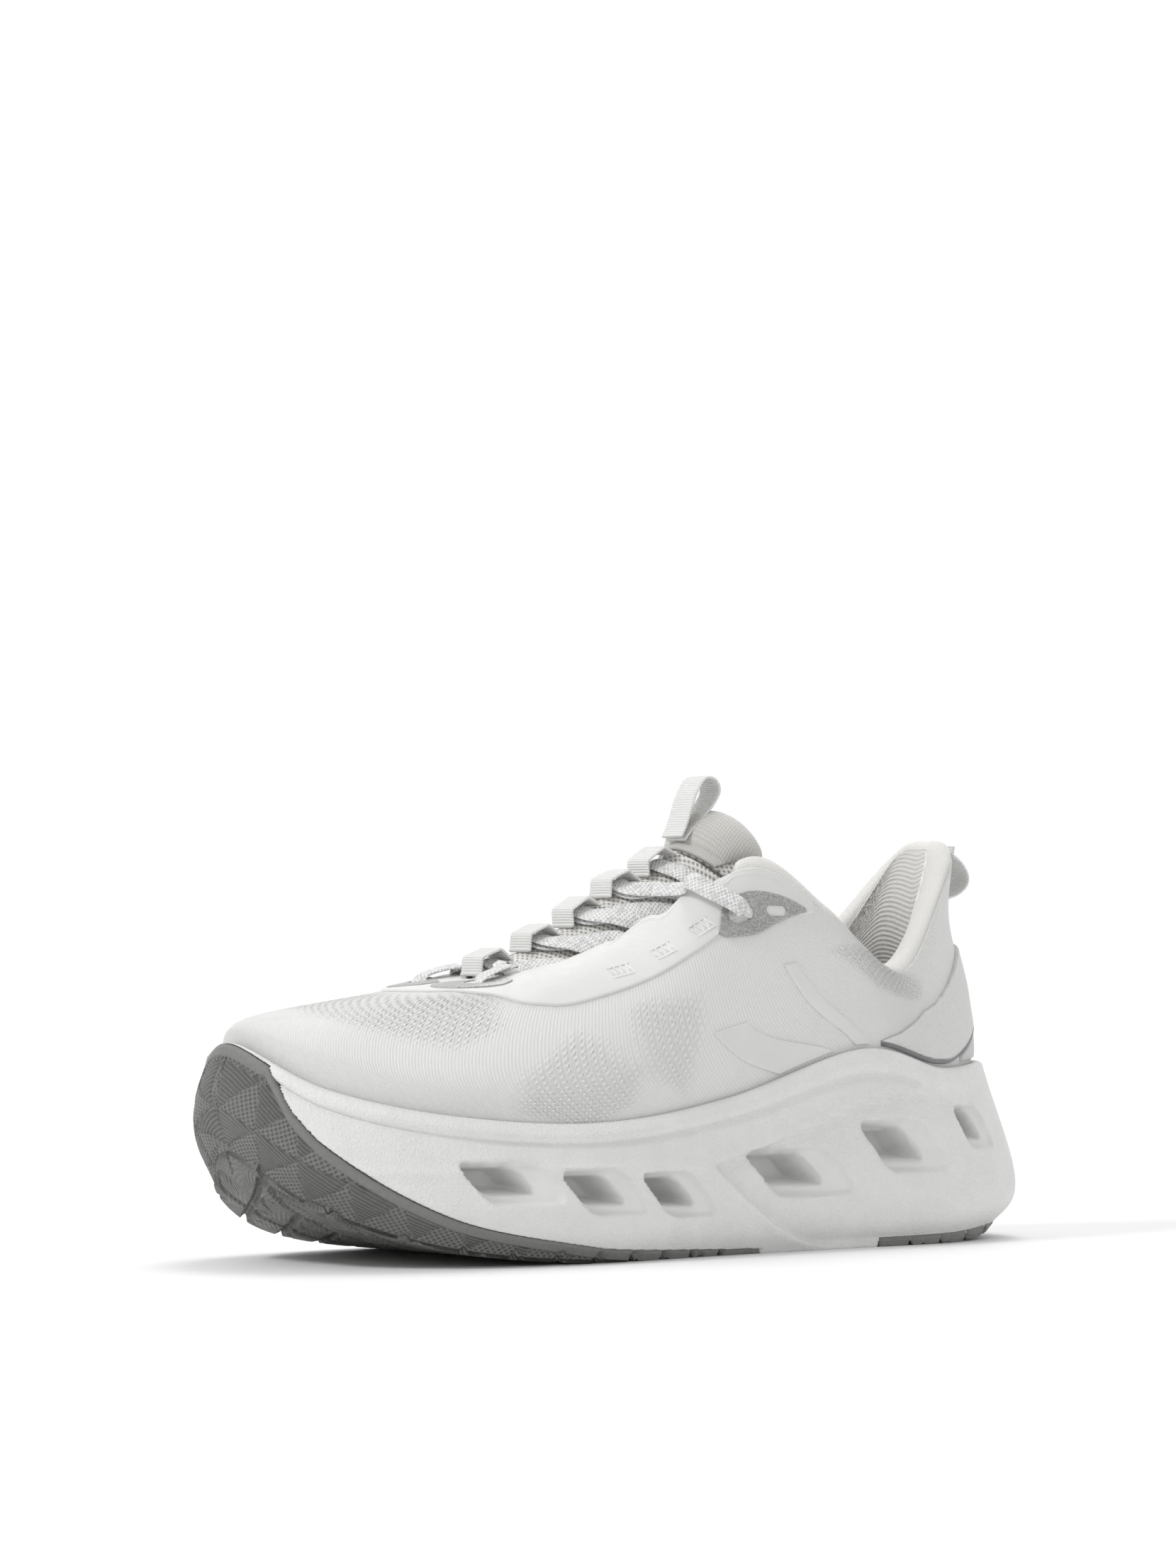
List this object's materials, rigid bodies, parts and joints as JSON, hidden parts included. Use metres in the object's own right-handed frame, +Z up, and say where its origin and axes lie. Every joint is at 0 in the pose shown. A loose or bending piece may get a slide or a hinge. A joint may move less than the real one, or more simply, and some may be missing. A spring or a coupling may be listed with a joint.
{
  "type": "running shoe",
  "caption": "Cushioned left running shoe with a windowed foam midsole, two-piece rubber outsole, knit upper, laced throat, free tongue flap, pull loops and a loose insole.",
  "frame": {"origin": "on the ground, under the middle of the shoe's overall box", "axes": "+X towards the toe, +Y towards the lateral (outer) side, +Z up"},
  "size_m": [0.2917, 0.1074, 0.1507],
  "materials": {
    "rubber_grey": "matte, fine texture",
    "foam_white": "matte moulded foam, pebble grain",
    "board": "non-woven",
    "insole_foam": "soft foam",
    "insole_knit": "knit",
    "upper_knit": "engineered mesh, fine twill with bubble zones",
    "stiffener": "moulded sheet",
    "padding": "soft foam padding",
    "lining_knit": "fine ribbed knit",
    "cup_film": "smooth satin",
    "strap_knit": "coarse knit tape",
    "film_white": "satin film",
    "reflective": "fine glitter, satin",
    "open_mesh": "open hexagon mesh",
    "pad_knit": "soft brushed knit",
    "webbing": "ribbed grosgrain",
    "lace": "mottled flat braid",
    "aglet": "clear sleeve"
  },
  "bodies": {
    "shoe": {"outsole_forefoot": "rubber_grey", "outsole_heel": "rubber_grey", "midsole": "foam_white", "strobel_board": "board", "upper_mesh": "upper_knit", "toe_puff": "stiffener", "heel_stiffener": "stiffener", "collar_foam": "padding", "collar_lining": "lining_knit", "collar_roll": "lining_knit", "heel_cup": "cup_film", "heel_strap": "strap_knit", "throat_film": "film_white", "eyelet_plate_lateral": "reflective", "eyelet_plate_medial": "reflective", "vamp_crescent_lateral": "reflective", "vamp_crescent_medial": "reflective", "saddle_band_front_lateral": "film_white", "saddle_band_front_medial": "film_white", "saddle_band_rear_lateral": "film_white", "saddle_band_rear_medial": "film_white", "tongue_mesh": "open_mesh", "tongue_lining": "lining_knit", "lace_keeper_1": "webbing", "lace_keeper_2": "webbing", "lace_keeper_3": "webbing", "lace_keeper_4": "webbing", "lace_keeper_5": "webbing", "heel_loop": "webbing", "lace": "lace", "aglet_lateral": "aglet", "aglet_medial": "aglet", "lace_loop_lateral_1": "webbing", "lace_loop_lateral_2": "webbing", "lace_loop_lateral_3": "webbing", "lace_loop_medial_1": "webbing", "lace_loop_medial_2": "webbing", "lace_loop_medial_3": "webbing"},
    "insole": {"insole_foam": "insole_foam", "insole_cover": "insole_knit"},
    "tongue_flap": {"tongue_pad": "pad_knit", "flap_lining": "lining_knit"},
    "pull_tab": {"pull_tab": "webbing"}
  },
  "joints": [
    {"name": "tongue_flap_bend", "type": "hinge", "parent": "shoe", "child": "tongue_flap", "pos_m": [-0.018, 0, 0.1265], "axis": [0, 1, 0], "range_deg": [-3, 18], "stiffness_Nm_per_rad": 0.3},
    {"name": "pull_tab_swing", "type": "hinge", "parent": "tongue_flap", "child": "pull_tab", "pos_m": [-0.0187, 0, 0.1305], "axis": [0, 1, 0], "range_deg": [0, 30], "stiffness_Nm_per_rad": 0.05},
    {"name": "insole_lift", "type": "hinge", "parent": "shoe", "child": "insole", "pos_m": [0.125, 0, 0.0485], "axis": [0, 1, 0], "range_deg": [0, 5]}
  ]
}
